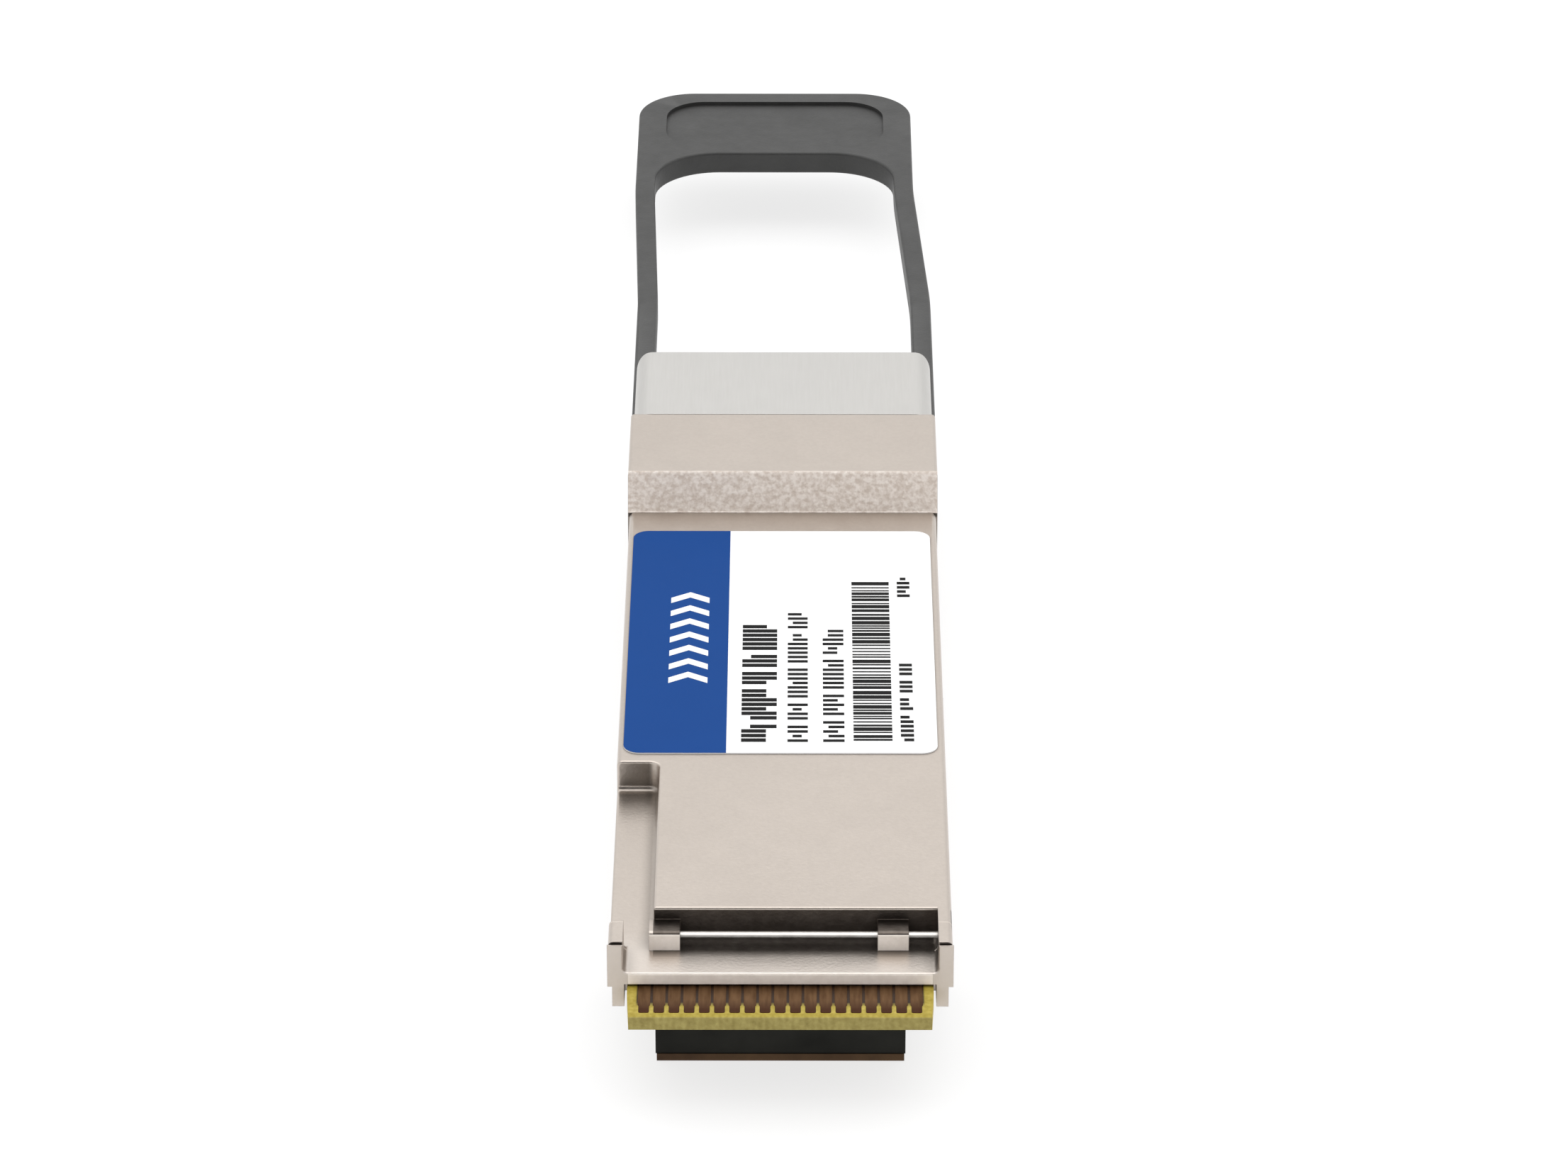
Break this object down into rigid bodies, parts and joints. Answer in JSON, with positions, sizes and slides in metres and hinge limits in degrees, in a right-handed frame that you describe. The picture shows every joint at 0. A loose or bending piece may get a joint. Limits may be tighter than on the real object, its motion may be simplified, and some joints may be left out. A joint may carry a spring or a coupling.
{
  "type": "optical transceiver module",
  "caption": "Pluggable fibre transceiver in a two-part metal shell, with a card edge, a fibre port, a sliding side latch and a plastic pull tab.",
  "frame": {"origin": "on the heat-sink face, on the middle plane, below the step that stops at the cage's mouth", "axes": "+X is the width, +Y runs from the card edge towards the pull tab, +Z points out of the label face"},
  "size_m": [0.0194, 0.1245, 0.0106],
  "materials": {
    "nickel_casting": "satin",
    "slider_steel": "satin",
    "screw_steel": "satin",
    "spring_steel": "satin",
    "polished_pin": "polished",
    "steel_can": "satin",
    "board_laminate": "satin",
    "contact_metal": "satin",
    "black_moulding": "matte",
    "amber_film": "satin",
    "chip_package": "matte",
    "laser_die": "gloss",
    "capacitor_ceramic": "matte",
    "ferrite": "matte",
    "gap_pad": "matte",
    "optical_resin": "gloss",
    "ferrule_resin": "matte",
    "ribbon_coating": "satin",
    "tab_plastic": "matte",
    "seal_rubber": "matte",
    "label_film": "satin"
  },
  "bodies": {
    "housing": {"label_side_shell": "nickel_casting", "heat_sink_side_shell": "nickel_casting", "circuit_board": "board_laminate", "contact_pads_label_side": "contact_metal", "contact_pads_heat_sink_side": "contact_metal", "board_support_block": "black_moulding", "insulating_strip": "amber_film", "microcontroller_chip": "chip_package", "crystal_oscillator": "steel_can", "laser_driver_chip": "chip_package", "receiver_amplifier_chip": "chip_package", "laser_array": "laser_die", "photodiode_array": "laser_die", "coupling_capacitors": "capacitor_ceramic", "filter_inductors": "ferrite", "thermal_pad": "gap_pad", "lens_block": "optical_resin", "jumper_ferrule": "ferrule_resin", "fibre_ribbon": "ribbon_coating", "port_ferrule": "ferrule_resin", "guide_pin_left": "polished_pin", "guide_pin_right": "polished_pin", "pin_clamp": "black_moulding", "port_insert": "black_moulding", "return_spring_left": "spring_steel", "return_spring_right": "spring_steel", "closing_screws": "screw_steel", "emi_seal_left": "seal_rubber", "emi_seal_right": "seal_rubber", "product_label": "label_film"},
    "latch": {"latch_slider": "slider_steel", "pull_tab": "tab_plastic"}
  },
  "joints": [
    {"name": "latch_slide", "type": "slide", "parent": "housing", "child": "latch", "axis": [0, 1, 0], "range_m": [0, 0.0022], "stiffness_N_per_m": 2000, "springref_m": -0.0012, "deforming": ["return_spring_left", "return_spring_right"]}
  ]
}
